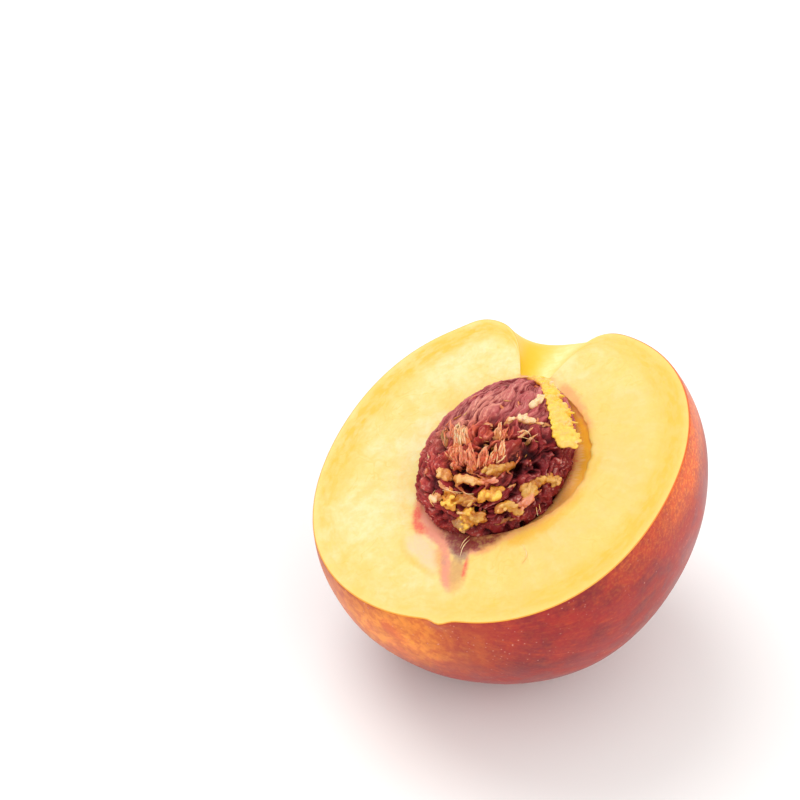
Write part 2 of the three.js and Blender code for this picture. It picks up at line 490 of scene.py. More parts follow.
def halfRows():
    # every row of points from the floor of the hollow, over the lip, face and rim, to the back's pole,
    # with how far across it lies: -1 floor, 0 lip, 1 rim, and on to 2 at the back
    even = np.arange(half["turns"]) * 2 * math.pi / half["turns"]
    turn = even - half["stemCrowding"] * np.sin(even)
    rows, across = [], []
    for i in range(half["hollowRows"] + 1):
        down = (1 - i / half["hollowRows"]) ** half["hollowCrowding"]
        rows.append(hollowPoint(turn, down))
        across.append(-down)
    for i in range(1, half["faceRows"] + 1):
        step = i / half["faceRows"]
        share = step - half["faceCrowding"] * math.sin(2 * math.pi * step)
        rows.append(facePoint(turn, share))
        across.append(share)
    rim = skinPoint(turn, np.float64(0))
    rim[..., 2] = -half["rimDrop"]
    rows.append(rim)
    across.append(1.002)
    for i in range(half["skinRows"] + 1):
        share = (i / half["skinRows"]) ** half["skinCrowding"]
        latitude = half["skinStart"] + (math.pi / 2 - half["skinStart"]) * share
        rows.append(skinPoint(turn, np.float64(latitude)))
        across.append(1.01 + share)
    return turn, np.stack(rows), np.array(across)


def makeFruitHalf():
    turn, rows, across = halfRows()
    count, turns = rows.shape[0], rows.shape[1]
    shape = bmesh.new()
    bmesh.ops.create_uvsphere(shape, u_segments=turns, v_segments=count - 1, radius=1)
    placed = []
    for vert in shape.verts:
        row = round(math.acos(max(-1, min(1, vert.co.z))) / math.pi * (count - 1))
        column = round(math.atan2(vert.co.x, vert.co.y) / (2 * math.pi) * turns) % turns
        placed.append((row, column))
        vert.co = rows[row, column]
    shape.verts.index_update()
    mesh = bpy.data.meshes.new("fruitHalf")
    for face in shape.faces:
        face.smooth = True
        lowest = max(placed[v.index][0] for v in face.verts)
        face.material_index = 1 if lowest > half["hollowRows"] + half["faceRows"] + 1 else 0
    bmesh.ops.recalc_face_normals(shape, faces=shape.faces)
    shape.to_mesh(mesh)
    shape.free()
    row = np.array([p[0] for p in placed])
    column = np.array([p[1] for p in placed])
    writeFruitMasks(mesh, rows[row, column], turn[column], across[row])
    restOnTable(mesh)
    finishPiece(mesh, "fruitHalf", ["fruit_half"], [fleshMaterial(), skinMaterial()])


def restOnTable(mesh):
    # sets the mesh down in the part's frame and presses its flat spot
    mesh.transform(partFromFruit)
    for vert in mesh.vertices:
        vert.co.z = max(vert.co.z, 0.0)


def finishPiece(mesh, name, replaced, materials):
    for material in materials:
        mesh.materials.append(material)
    piece = addObject(name, mesh)
    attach(piece, "root")
    if replaced:
        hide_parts(*replaced)
    print("made", name, len(mesh.polygons), "faces")


def writeValues(mesh, **masks):
    # a number for each point under each of the names
    for name, values in masks.items():
        made = mesh.attributes.new(name, "FLOAT", "POINT")
        made.data.foreach_set("value", np.asarray(values, np.float32))


def writeVectors(mesh, name, values):
    made = mesh.attributes.new(name, "FLOAT_VECTOR", "POINT")
    made.data.foreach_set("vector", np.asarray(values, np.float32).ravel())


# Stains of the cut face by tone: middle in mm, radii, direction in degrees from +X, and strength.
stains = {
    "pale": [
        (-8.5, -18.0, 4.4, 2.6, -35, 0.6), (-5.5, -21.0, 3.0, 2.1, -45, 0.55),
        (-10.5, -18.0, 2.2, 1.7, -45, 0.35),
    ],
    "golden": [
        (-12.5, -18.0, 2.0, 0.9, -55, 0.4), (-10.0, -20.5, 2.2, 0.8, -35, 0.5),
        (-6.5, -22.5, 2.6, 0.8, -25, 0.45), (12.5, -10.5, 4.2, 1.7, 50, 0.85),
        (16.0, -5.0, 3.2, 1.4, 60, 0.75), (8.5, -14.0, 3.2, 1.4, 35, 0.9),
        (17.5, 2.0, 3.5, 0.9, 85, 0.5),
    ],
    "peach": [
        (-4.0, -20.0, 3.2, 1.5, -65, 0.8), (-3.0, -22.5, 1.8, 0.7, -65, 0.9),
        (-0.5, -23.5, 2.8, 1.4, -60, 0.7), (2.5, -17.5, 1.8, 0.9, 20, 0.8),
        (4.0, -16.0, 1.6, 0.9, 30, 0.8), (6.5, -14.0, 1.8, 0.9, 40, 0.6),
        (7.0, 17.5, 2.6, 1.1, -40, 0.9), (10.0, 14.5, 2.8, 1.2, -50, 0.9),
        (13.0, 11.5, 2.2, 0.9, -55, 0.6), (2.0, 20.0, 1.6, 0.5, -5, 0.8),
    ],
    "pink": [
        (-8.0, -14.5, 3.0, 1.3, -30, 0.95), (-5.5, -16.0, 2.2, 1.3, -30, 0.95),
        (-10.5, -12.0, 2.2, 1.2, -40, 0.9), (-4.0, -18.0, 1.4, 1.0, -45, 0.7),
        (-2.0, -23.0, 3.0, 1.1, -70, 0.95), (1.0, -17.5, 1.5, 0.8, 50, 0.7),
        (-3.0, -20.5, 2.0, 1.0, -65, 0.75), (-1.5, 20.0, 2.0, 0.5, -10, 0.7),
    ],
    "olive": [
        (-0.5, -23.0, 3.0, 1.2, -65, 0.75), (-0.5, -21.0, 1.6, 1.2, -60, 0.85),
        (0.5, -22.5, 1.8, 0.9, -65, 0.6),
    ],
    "grey": [
        (-3.5, -20.5, 1.8, 0.8, -65, 0.35), (-2.5, -17.5, 1.4, 1.0, -45, 0.85),
        (-0.5, -18.5, 1.4, 1.0, -50, 0.75), (-1.0, -19.5, 1.4, 1.0, -45, 0.5),
    ],
    "red": [
        (-12.5, -10.0, 2.4, 0.9, -75, 0.75), (-10.5, -14.0, 1.4, 1.1, -30, 0.8),
        (-12.0, -12.5, 2.0, 0.9, -65, 0.6), (1.0, -21.5, 2.6, 0.4, -80, 0.8),
    ],
    "purple": [
        (-2.0, -15.5, 2.4, 1.7, 0, 0.9), (0.5, -16.0, 2.0, 1.6, -10, 0.95),
        (3.0, -15.5, 2.0, 1.1, 20, 0.75), (-4.5, -15.0, 2.0, 1.0, -25, 0.7),
        (4.5, -14.0, 1.8, 0.8, 40, 0.55), (6.5, -12.5, 1.8, 0.7, 45, 0.4),
        (-1.5, -17.5, 1.5, 1.2, -25, 0.75),
    ],
}
stainLook = {  # in the order they are laid on
    "pale": (0.80, 0.55, 0.33), "golden": (0.80, 0.46, 0.045), "peach": (0.80, 0.38, 0.12),
    "pink": (0.77, 0.28, 0.18), "olive": (0.62, 0.34, 0.11), "grey": (0.36, 0.19, 0.13),
    "red": (0.76, 0.10, 0.055), "purple": (0.23, 0.024, 0.020),
}
stainEdge = {
    "ragged": [(0.22, 4.0, 1), (0.3, 1.5, 7), (0.25, 0.7, 3)],  # share, size in mm and shift of each noise
    "raggedShare": 0.8, "full": 0.1, "gone": 1.7,  # a stain is full and gone at these shares of its radii
}
# Stain seeping from the stone into the lip: turn, spread, width in mm and strength.
halos = {
    "peach": (150.0, 55.0, 2.4, 0.8), "pink": (-145.0, 50.0, 1.9, 0.75), "purple": (-176.0, 33.0, 0.8, 0.8),
}
faceTint = {
    # the golden ring inside the skin, strongest on two sides
    "rightTurn": 92.0, "rightSpread": 60.0, "leftTurn": -58.0, "leftSpread": 50.0, "leftShare": 0.85,
    "least": 0.35,
    "warmTurn": 0.3, "warmFrom": -0.7, "warmTo": 1.0,  # the flesh is warmer towards +X (turn in radians)
    "redTurn": 58.0, "redSpread": 50.0,  # where the skin's cut edge is red
}
# Patches of the skin: turn, latitude behind the face, and half their size each way, in degrees. The pale
# spot by the stem is a painted highlight on the cavity's wall.
blush = {
    "yellow": (-156.0, 10.0, 27.0, 15.0), "orange": (68.0, 4.0, 38.0, 9.0), "stemPaintedHighlight": (1.0, 8.0, 6.0, 5.0),
    "stemGold": 22.0, "stemOrange": 50.0,  # the gold round the stem ends between these two
}


def writeFruitMasks(mesh, points, turn, across):
    flat = points * (1, 1, 0)
    ragged = sum(share * grain(flat, size, shift) for share, size, shift in stainEdge["ragged"])
    onFace = (across >= -0.35) & (across <= 1.0)
    lip = hollowPoint(turn, 0.0)
    fromLip = np.linalg.norm((points - lip)[:, :2], axis=-1) * np.where(across < 0, -1, 1)
    for tone in stainLook:
        clear = np.ones(len(points))
        for x, y, length, width, angle, strength in stains[tone]:
            along, aside = alongAcross(points, (x, y), angle)
            away = np.hypot(along / length, aside / width) + stainEdge["raggedShare"] * ragged
            clear *= 1 - strength * (1 - smoothStep(stainEdge["full"], stainEdge["gone"], away))
        if tone in halos:
            middle, spread, width, strength = halos[tone]
            seeped = bump(turnsFrom(turn, middle), spread, 4)
            seeped = seeped * (1 - smoothStep(0.0, width, fromLip + (0.4 + 0.3 * width) * ragged))
            clear *= 1 - strength * seeped
        writeValues(mesh, **{tone: np.where(onFace, 1 - clear, 0)})
    tint = faceTint
    ringShare = (tint["least"] + bump(turnsFrom(turn, tint["rightTurn"]), tint["rightSpread"])
                 + tint["leftShare"] * bump(turnsFrom(turn, tint["leftTurn"]), tint["leftSpread"]))
    sunny = np.sin(turn - tint["warmTurn"])
    writeValues(
        mesh, across=across, fromLip=fromLip, ringShare=np.clip(ringShare, 0, 1),
        redSide=bump(turnsFrom(turn, tint["redTurn"]), tint["redSpread"], 6),
        warmSide=smoothStep(tint["warmFrom"], tint["warmTo"], sunny))
    writeVectors(mesh, "rays", xyz(np.sin(turn), np.cos(turn), across))
    writeSkinMasks(mesh, points, turn)


def writeSkinMasks(mesh, points, turn):
    way = points / np.linalg.norm(points, axis=-1, keepdims=True)
    latitude = np.degrees(np.arcsin(np.clip(-way[:, 2], -1, 1)))
    broad = grain(points, 11.0, 5)
    medium = grain(points, 4.5, 8)

    def fromPatch(name):
        middle, behind, width, height = blush[name]
        return np.hypot(turnsFrom(turn, middle) / width, (latitude - behind) / height)

    yellow = bump(fromPatch("yellow") - 0.25 * broad, 1.0, 2.5)
    orange = bump(fromPatch("orange") - 0.3 * broad, 1.0, 2.5)
    fromStem = np.degrees(np.arccos(np.clip(way[:, 1], -1, 1)))
    ragged = fromStem + 5 * medium + 4 * grain(points, 1.8, 2)
    # the pale spot by the stem is a painted highlight
    writeValues(
        mesh, yellow=np.clip(yellow + 0.3 * medium * yellow, 0, 1), orange=np.clip(orange, 0, 1),
        gold=1 - smoothStep(blush["stemGold"], blush["stemOrange"], ragged),
        goldPale=bump(fromPatch("stemPaintedHighlight"), 1.0, 2.0))
    meridian = np.arctan2(way[:, 2], way[:, 0])
    writeVectors(mesh, "meridians", xyz(np.sin(meridian), np.cos(meridian), way[:, 1]))


# Flesh and skin materials.
fleshLook = {
    "pale": (0.80, 0.71, 0.37), "warm": (0.80, 0.58, 0.14), "golden": (0.80, 0.48, 0.045),
    "rightPale": (0.80, 0.55, 0.165), "vein": (0.80, 0.50, 0.08),
    "wallEdge": (0.92, 0.45, 0.030), "wall": (0.98, 0.56, 0.19), "wallDeep": (0.92, 0.30, 0.12),
    "skinLine": (0.80, 0.34, 0.04), "redLine": (0.72, 0.12, 0.02),
}


def fleshMaterial():
    look = fleshLook
    made, tree, shader, place = newMaterial("nectarine flesh")
    across, fromLip = mask(tree, "across"), mask(tree, "fromLip")
    cloud = mottled(tree, place, 0.009, 0.36, 0.64)
    blotch = mottled(tree, place, 0.0035, 0.42, 0.68, 5)
    fine = mottled(tree, place, 0.0012, 0.4, 0.68, 6)
    streak = rayed(tree, 13.0, 1.8, 0.42, 0.68)
    rings = rayed(tree, 11.0, 17.0, 0.34, 0.74)
    # fine wandering veins
    thread = noiseOf(tree, place, 150.0, 2.0, 0.5, 1.2)
    thread = maths(tree, "ABSOLUTE", maths(tree, "SUBTRACT", thread, 0.5))
    vein = times(tree, between(tree, thread, 0.016, 0.0), between(tree, cloud, 0.4, 0.9, 0.0, 0.5))
    colour = layered(
        tree, look["pale"], (mask(tree, "warmSide"), look["rightPale"]),
        (times(tree, cloud, 0.7), look["warm"]), (times(tree, streak, 0.16), look["pale"]),
        (times(tree, blotch, 0.42), look["golden"]), (times(tree, fine, 0.2), look["golden"]),
        (vein, look["vein"]))
    # the golden ring under the skin, and the flesh beside the skin
    inRing = between(tree, across, 0.985, 0.92, 0.4, 1.0)
    inRing = times(tree, between(tree, across, 0.6, 0.86), inRing)
    ringTone = times(tree, mask(tree, "ringShare"), plus(tree, 0.55, times(tree, rings, 0.7)))
    colour = layered(
        tree, colour, (times(tree, inRing, ringTone, clamp=True), look["golden"]),
        (between(tree, across, 0.9, 1.0, 0.0, 0.45), look["warm"]))
    # the hollow's wall, from its lip down to the stone
    thin = rayed(tree, 70.0, 3.0, 0.42, 0.66)
    inward = plus(tree, fromLip, times(tree, thin, 1.1))
    wall = layered(
        tree, look["wallEdge"], (between(tree, inward, -0.9, -1.9), look["wall"]),
        (between(tree, inward, -2.2, -3.2), look["wallDeep"]), (times(tree, thin, 0.3), look["wallEdge"]))
    colour = blend(tree, between(tree, fromLip, 0.3, -0.35), colour, wall)
    grit = between(tree, mottled(tree, place, 0.0005, 0.36, 0.66, 6), 0.0, 1.0, 1.0, 0.78)
    for tone, paint in stainLook.items():
        speckled = times(tree, mask(tree, tone), grit)
        colour = blend(tree, between(tree, speckled, 0.0, 0.85), colour, paint)
    # the skin's cut edge
    edge = blend(tree, mask(tree, "redSide"), look["skinLine"], look["redLine"])
    colour = blend(tree, between(tree, across, 0.992, 1.001), colour, edge)
    fill(tree, shader, {
        "Base Color": colour, "Roughness": between(tree, blotch, 0.0, 1.0, 0.5, 0.36),
        "Normal": relieved(tree, place, 0.0011, 0.00018, 0.5), "Specular IOR Level": 0.35,
        "Subsurface Weight": 0.25, "Subsurface Radius": (1.0, 0.55, 0.12), "Subsurface Scale": 0.0025})
    return made


skinLook = {
    "crimson": (0.27, 0.012, 0.018), "deep": (0.17, 0.007, 0.014), "red": (0.44, 0.022, 0.014),
    "orange": (0.84, 0.125, 0.014), "yellow": (0.94, 0.31, 0.030), "gold": (0.82, 0.52, 0.004),
    "goldPale": (0.88, 0.78, 0.34), "paleDotAndPaintedGlint": (0.74, 0.36, 0.28), "fleckScale": 900.0,
}


def skinMaterial():
    look = skinLook
    made, tree, shader, place = newMaterial("nectarine skin")
    orange, gold = mask(tree, "orange"), mask(tree, "gold")
    medium = mottled(tree, place, 0.0055, 0.34, 0.68, 5)
    small = mottled(tree, place, 0.0018, 0.34, 0.70, 6)
    drawn = rayed(tree, 30.0, 9.0, 0.42, 0.70, name="meridians")
    flecks = times(tree, small, plus(tree, 0.03, times(tree, drawn, 0.22)))
    # the orange side, sprinkled with yellow
    patch = plus(tree, 0.55, plus(tree, times(tree, medium, 0.3), times(tree, small, 0.2)))
    tiny = mottled(tree, place, 0.0006, 0.42, 0.68, 3)
    tiny = times(tree, tiny, plus(tree, 0.05, times(tree, orange, 0.5)))
    colour = layered(
        tree, look["crimson"], (mottled(tree, place, 0.016, 0.36, 0.68), look["deep"]),
        (times(tree, medium, 0.55), look["red"]), (flecks, look["orange"]),
        (times(tree, orange, patch, clamp=True), look["orange"]), (tiny, look["yellow"]))
    # the yellow patch, and the gold round the stem that fades out through orange, with a painted highlight
    # as a pale spot on the stem cavity's wall
    patch = plus(tree, 0.75, times(tree, small, 0.35))
    yellowness = times(tree, plus(tree, 0.25, medium), plus(tree, 0.5, small))
    tone = blend(tree, yellowness, look["orange"], look["yellow"])
    # painted highlight: a pale spot on the stem cavity's wall
    pale = times(tree, mask(tree, "goldPale"), plus(tree, 0.7, times(tree, small, 0.4)), clamp=True)
    golden = blend(tree, pale, look["gold"], look["goldPale"])
    mixed = maths(tree, "SUBTRACT", gold, times(tree, plus(tree, medium, small), 0.12))
    # fine pale dots
    dots = addNode(tree, "ShaderNodeTexVoronoi", {"Vector": place, "Scale": look["fleckScale"]})
    speck = between(tree, dots.outputs["Distance"], 0.18, 0.08)
    speck = times(tree, speck, mottled(tree, place, 0.009, 0.40, 0.66))
    speck = times(tree, speck, between(tree, gold, 0.9, 0.4))
    colour = layered(
        tree, colour, (times(tree, mask(tree, "yellow"), patch, clamp=True), tone),
        (between(tree, mixed, 0.02, 0.42), tone), (between(tree, mixed, 0.42, 0.85), golden),
        (times(tree, speck, 0.5), look["paleDotAndPaintedGlint"]))
    fill(tree, shader, {
        "Base Color": colour, "Roughness": between(tree, medium, 0.0, 1.0, 0.36, 0.44),
        "Normal": relieved(tree, place, 0.0009, 0.00004, 0.4), "Specular IOR Level": 0.22,
        "Coat Weight": 0.03, "Coat Roughness": 0.25,
        "Sheen Weight": 0.05, "Sheen Tint": (1.0, 0.55, 0.45, 1.0), "Sheen Roughness": 0.3,
        "Subsurface Weight": 0.05, "Subsurface Radius": (1.0, 0.3, 0.1), "Subsurface Scale": 0.001})
    return made


makeFruitHalf()


# The rough stone.
pit = {
    "proud": 0.5,  # how far the ridges stand above the smooth stone
    "strands": 3.0, "strandRows": 7.5, "strandWander": 0.07, "fineStrand": 0.42, "strandEdge": 2.4,
    "strandDepth": 1.05, "fineStrandDepth": 0.5,
    "upperShare": 0.42,  # how deep the strands are near the stem, next to those lower down
    "axisPull": 0.3,  # 1 makes the lower strands rings round the middle, 0 lets them run along the stone
    "pitSize": 2.6, "pitDepth": 1.7, "pitPatchSize": 3.2,
    "fine": 0.16, "fineSize": 0.8, "finest": 0.08, "finestSize": 0.35,
    "smoothFrom": -0.3, "smoothTo": 6.2,  # millimetres towards the stem, where pits turn to strands
    "smoothSlant": 0.35, "smoothWander": 1.5,
    "wander": 1.5, "wanderSize": 4.5, "waver": 0.09, "fineWaver": 0.04, "fineWaverSize": 1.6,
    "calmEdge": 0.45, "calmMiddle": 0.12, "calmSpread": 0.22,
    "threadRows": 26.0, "threadShare": 1.5,
    "finerAbove": 0.16,  # the part of the stone that shows has the finer mesh
}
# Colour patches of the stone: middle and radii in mm. The flank patch is pale strands, lightened in part as
# painted light on the upper-left side that faces the lamps.
stonePatches = {"torn": ((0.6, -3.2), (5.8, 5.0)), "flank": ((-4.6, 3.4), (8.0, 2.7)), "flankAngle": 57}
# The deepest pits: place on the stone, radius and depth in mm.
deepPits = [
    (-4.8, -10.5, 1.2, 0.9), (-5.6, -12.6, 1.0, 0.8), (1.1, -0.4, 1.0, 0.8), (8.9, -4.8, 1.4, 1.1),
    (1.9, 13.5, 0.7, 0.9), (-3.3, 13.6, 0.9, 0.8), (9.3, -1.4, 1.2, 1.0), (8.6, -12.0, 1.0, 0.7),
    (-4.8, -7.6, 0.9, 0.6), (-0.2, -8.6, 1.2, 0.8), (3.4, -7.6, 1.1, 0.8),
]


def strandDepth(way, wander, rows):
    # furrows that follow the lines on which rows stays the same, and the place of each point among them
    lines = xyz((way[..., 0] + pit["strandWander"] * wander[..., 0]) * pit["strands"],
                (way[..., 1] + pit["strandWander"] * wander[..., 1]) * pit["strands"],
                rows * pit["strandRows"])
    coarse = np.clip(np.abs(grain(lines, 1.0, 2)) * pit["strandEdge"], 0, 1)
    fine = np.clip(np.abs(grain(lines, pit["fineStrand"], 8)) * pit["strandEdge"], 0, 1)
    return pit["strandDepth"] * (1 - coarse) + pit["fineStrandDepth"] * (1 - fine), lines


def stoneRelief(way, points):
    # gives the depth below the highest ridges in mm, a height from 0 to 1 for the colours, 1 where the
    # stone is smooth, and the place among the strands. The lower strands run round the stone as its
    # outline does, and the upper ones run from end to end.
    wander = np.stack([grain(points, pit["wanderSize"], shift) for shift in (1, 21, 41)], -1) * pit["wander"]
    warped = points + wander
    waver = pit["waver"] * wander[..., 2] + pit["fineWaver"] * grain(points, pit["fineWaverSize"], 31)
    pull = pit["axisPull"] + (1 - pit["axisPull"]) * (1 - way[..., 2] ** 2)
    down = np.arcsin(np.clip(np.hypot(way[..., 0], way[..., 1] * pull) + waver, -1, 1))
    down = np.where(way[..., 2] < 0, math.pi - down, down)
    roundDepth, roundLines = strandDepth(way, wander, down)
    endDepth, endLines = strandDepth(way, wander, np.arctan2(way[..., 0] + waver, way[..., 2]))
    towardsStem = points[..., 1] - pit["smoothSlant"] * points[..., 0] + pit["smoothWander"] * wander[..., 0]
    upper = smoothStep(pit["smoothFrom"], pit["smoothTo"], towardsStem)
    lower = 1 - upper
    near = np.array([noise.voronoi(p)[0][:2] for p in (warped / pit["pitSize"]).tolist()])
    bowl = smoothStep(0.05, 0.6, near[:, 1] - near[:, 0])
    bowl = bowl * smoothStep(-0.25, 0.25, grain(points, pit["pitPatchSize"], 17))
    share = 1 - (1 - pit["upperShare"]) * upper
    depth = share * (roundDepth * lower + endDepth * upper) + pit["pitDepth"] * bowl * lower
    deepest = share * (pit["strandDepth"] + pit["fineStrandDepth"]) + 0.6 * pit["pitDepth"] * lower
    depth = depth * (1 - pit["calmEdge"] * bump(way[..., 2] - pit["calmMiddle"], pit["calmSpread"]))
    for x, y, radius, deep in deepPits:
        away = np.hypot(warped[..., 0] - x, warped[..., 1] - y) / radius
        depth = depth + deep * bump(away, 1.0) * (way[..., 2] > 0)
    fine = pit["fine"] * grain(points, pit["fineSize"], 3)
    fine = fine + pit["finest"] * grain(points, pit["finestSize"], 6)
    threads = np.where(upper[..., None] > 0.5, endLines, roundLines)
    threads = threads * (pit["threadShare"], pit["threadShare"], pit["threadRows"] / pit["strandRows"])
    return depth - fine, np.clip(1 - depth / deepest + fine, 0, 1), upper, threads


def stonePoints(way):
    # way holds unit vectors; gives points of the rough surface in the stone's own frame
    smooth = smoothStone(way)
    depth, *looks = stoneRelief(way, smooth)
    return smooth + way * (pit["proud"] - depth)[..., None], *looks


def makeStone():
    shape = bmesh.new()
    bmesh.ops.create_icosphere(shape, subdivisions=7, radius=1)
    finer = [e for e in shape.edges if min(v.co.z for v in e.verts) > pit["finerAbove"]]
    bmesh.ops.subdivide_edges(shape, edges=finer, cuts=1, use_grid_fill=True)
    bmesh.ops.triangulate(shape, faces=shape.faces)
    way = np.array([v.co.normalized() for v in shape.verts])
    points, height, upper, threads = stonePoints(way)
    for vert, point in zip(shape.verts, seated(points)):
        vert.co = point
    for face in shape.faces:
        face.smooth = True
    mesh = bpy.data.meshes.new("stonePit")
    shape.to_mesh(mesh)
    shape.free()
    (x, y), (halfWidth, halfLength) = stonePatches["torn"]
    torn = bump(points[:, 0] - x, halfWidth, 3) * bump(points[:, 1] - y, halfLength, 3)
    torn = torn * smoothStep(2, 6, points[:, 2]) * (1 + 1.2 * grain(points, 2.5, 12))
    # the upper-left flank: pale strands, partly painted light where it faces the lamps
    middle, (halfLength, halfWidth) = stonePatches["flank"]
    along, aside = alongAcross(points, middle, stonePatches["flankAngle"])
    flank = bump(np.hypot(along / halfLength, aside / halfWidth), 1.0, 3)
    # painted shade: the stone darkens towards +X and -Y of its frame, the side away from the lamps
    writeValues(
        mesh, height=height, upper=upper, orangeFlesh=np.clip(torn, 0, 1), flank=flank * (points[:, 2] > 0),
        darkSide=smoothStep(1.0, 13.0, points[:, 0] - 0.5 * points[:, 1]))
    writeVectors(mesh, "threads", threads)
    mesh.transform(partFromFruit)
    finishPiece(mesh, "stonePit", ["stone"], [stoneMaterial()])


# Stone colours: the darkest are painted shade in the pits and furrows and on the side away from the lamps;
# the flank colour is partly painted light and the pale glint colour is a painted highlight.
stoneLook = {
    "pitShade": (0.040, 0.003, 0.005), "ridge": (0.30, 0.018, 0.022), "ridgeLight": (0.60, 0.085, 0.058),
    "sinewShade": (0.19, 0.013, 0.018), "sinew": (0.45, 0.085, 0.09), "sinewLight": (0.66, 0.21, 0.185),
    "flank": (0.82, 0.36, 0.25), "orange": (0.88, 0.20, 0.095), "paleDotAndPaintedGlint": (0.85, 0.52, 0.44),
    # painted shade for the side away from the lamps
    "shade": (0.62, 0.55, 0.6),  # multiplies the low side
}


def stoneMaterial():
    look = stoneLook
    made, tree, shader, place = newMaterial("nectarine stone")
    height = mask(tree, "height")
    thread = between(tree, noiseOf(tree, field(tree, "threads"), 1.0, 5.0, 0.65), 0.42, 0.64)
    small = mottled(tree, place, 0.0007, 0.38, 0.64, 6)
    raised = between(tree, height, 0.45, 0.95)
    notLow = between(tree, height, 0.2, 0.7)
    # painted shade: the lower stone darkens with depth, to near black in the pits
    low = blend(tree, between(tree, height, 0.2, 0.85), look["pitShade"], look["ridge"])
    low = blend(tree, times(tree, thread, times(tree, raised, 0.85)), low, look["ridgeLight"])
    # painted shade: the low colours darken on the side away from the lamps
    low = blend(tree, mask(tree, "darkSide"), low, look["shade"], "MULTIPLY")
    # painted shade: the upper strands darken towards their furrows
    high = blend(tree, between(tree, height, 0.25, 0.8), look["sinewShade"], look["sinew"])
    high = blend(tree, times(tree, thread, 0.75), high, look["sinewLight"])
    # pale strands on the upper-left flank, lightened partly as painted light
    pale = times(tree, mask(tree, "flank"), times(tree, notLow, plus(tree, 0.35, times(tree, thread, 0.65))))
    tufted = times(tree, mask(tree, "orangeFlesh"), plus(tree, 0.15, times(tree, thread, 0.75)), clamp=True)
    # painted highlight: pale glints on the raised threads stand in for wet reflections
    glint = times(tree, times(tree, thread, raised), between(tree, small, 0.55, 0.95, 0.0, 0.5))
    colour = layered(
        tree, low, (mask(tree, "upper"), high), (pale, look["flank"]),
        (times(tree, tufted, notLow), look["orange"]), (glint, look["paleDotAndPaintedGlint"]))
    fill(tree, shader, {
        "Base Color": colour, "Roughness": between(tree, small, 0.0, 1.0, 0.30, 0.6),
        "Normal": relieved(tree, place, 0.0006, 0.0003, 0.6), "Specular IOR Level": 0.14,
        "Coat Weight": 0.03, "Coat Roughness": 0.2})
    return made


makeStone()


# Flesh left on the stone: scraps, tufts and the fringe along its keel.
# Each scrap: its middle on the stone in mm, length, width, direction in degrees from +X, and tone.
scraps = [
    (-3.5, -9.9, 3.3, 1.3, -21, "yellow"), (-0.2, -10.3, 1.8, 1.5, 29, "yellow"),
    (2.0, -9.8, 2.5, 1.5, -12, "yellow"), (5.0, -9.0, 3.0, 0.9, 28, "pink"),
    (5.3, -6.8, 3.2, 1.7, 36, "olive"), (7.3, -5.0, 2.4, 0.9, 50, "olive"),
    (-1.2, -13.7, 3.6, 3.0, -12, "gold"), (2.2, -13.1, 3.4, 1.5, 13, "olive"),
    (-3.9, -13.6, 2.1, 1.1, -10, "cream"), (5.2, -11.4, 2.0, 1.4, 47, "gold"),
    (6.8, -10.4, 2.3, 1.6, 36, "gold"), (6.3, -10.1, 1.1, 1.0, -27, "gold"),
    (11.4, -6.5, 2.6, 1.7, 66, "olive"), (12.3, -4.0, 3.5, 1.0, 68, "olive"),
    (8.3, -11.9, 1.7, 1.4, 46, "yellow"), (9.7, -10.6, 2.2, 1.4, 19, "olive"),
    (11.4, -8.6, 2.9, 0.9, 57, "pink"), (3.0, -15.2, 2.7, 2.1, 42, "gold"),
    (4.7, -14.7, 2.6, 1.6, 24, "olive"), (1.6, -15.0, 2.7, 0.7, 7, "cream"),
    (2.0, -16.1, 2.3, 1.0, 2, "dull"), (9.0, -12.8, 3.6, 0.7, 44, "dull"),
    (13.1, -2.6, 1.4, 0.9, 60, "olive"), (12.7, -5.1, 2.0, 0.5, 75, "pink"),
    (4.8, 9.1, 2.2, 1.0, 84, "cream"),
    (3.3, 3.7, 1.7, 0.9, 32, "cream"), (5.4, 4.6, 2.8, 0.9, 8, "cream"), (8.4, 5.9, 2.4, 0.7, 33, "cream"),
    (7.9, -6.1, 0.9, 0.35, -12, "pink"),
    (-2.6, -11.6, 3.0, 0.6, -15, "pink"), (0.6, -11.9, 2.6, 0.6, -18, "pink"),
    (1.3, 14.4, 1.8, 0.8, -44, "pink"), (-1.2, 15.1, 1.8, 0.6, 10, "yellow"),
]
# Tufts are torn fibres that lie side by side and stand up a little at their far ends.
tufts = [
    (6.8, 2.1, 2.4, 0.4, 62, "cream"), (8.0, 1.5, 2.4, 0.4, 58, "cream"),
    (-2.0, -12.2, 3.4, 0.5, -16, "peach"),
    (-4.7, -2.0, 5.0, 1.5, 117, "orange"), (-3.1, -1.9, 4.0, 1.1, 118, "orange"),
    (2.2, 0.9, 2.9, 1.5, 105, "cream"), (3.5, 0.7, 2.2, 1.0, 86, "orange"),
    (-3.9, -5.9, 2.2, 1.6, 100, "orange"), (-1.7, -6.0, 3.7, 1.7, 120, "red"),
    (0.3, -5.8, 4.6, 1.7, 116, "red"), (2.4, -5.0, 4.5, 1.7, 107, "red"),
    (4.0, -4.0, 3.2, 1.4, 103, "red"), (4.9, -2.4, 2.8, 1.0, 106, "orange"),
    (0.4, -7.6, 2.3, 1.2, 120, "orange"), (-2.4, -7.8, 2.0, 1.4, 112, "red"),
    (-7.7, -2.5, 4.5, 0.8, 118, "dull"), (-6.6, -1.2, 3.6, 0.7, 117, "red"),
]
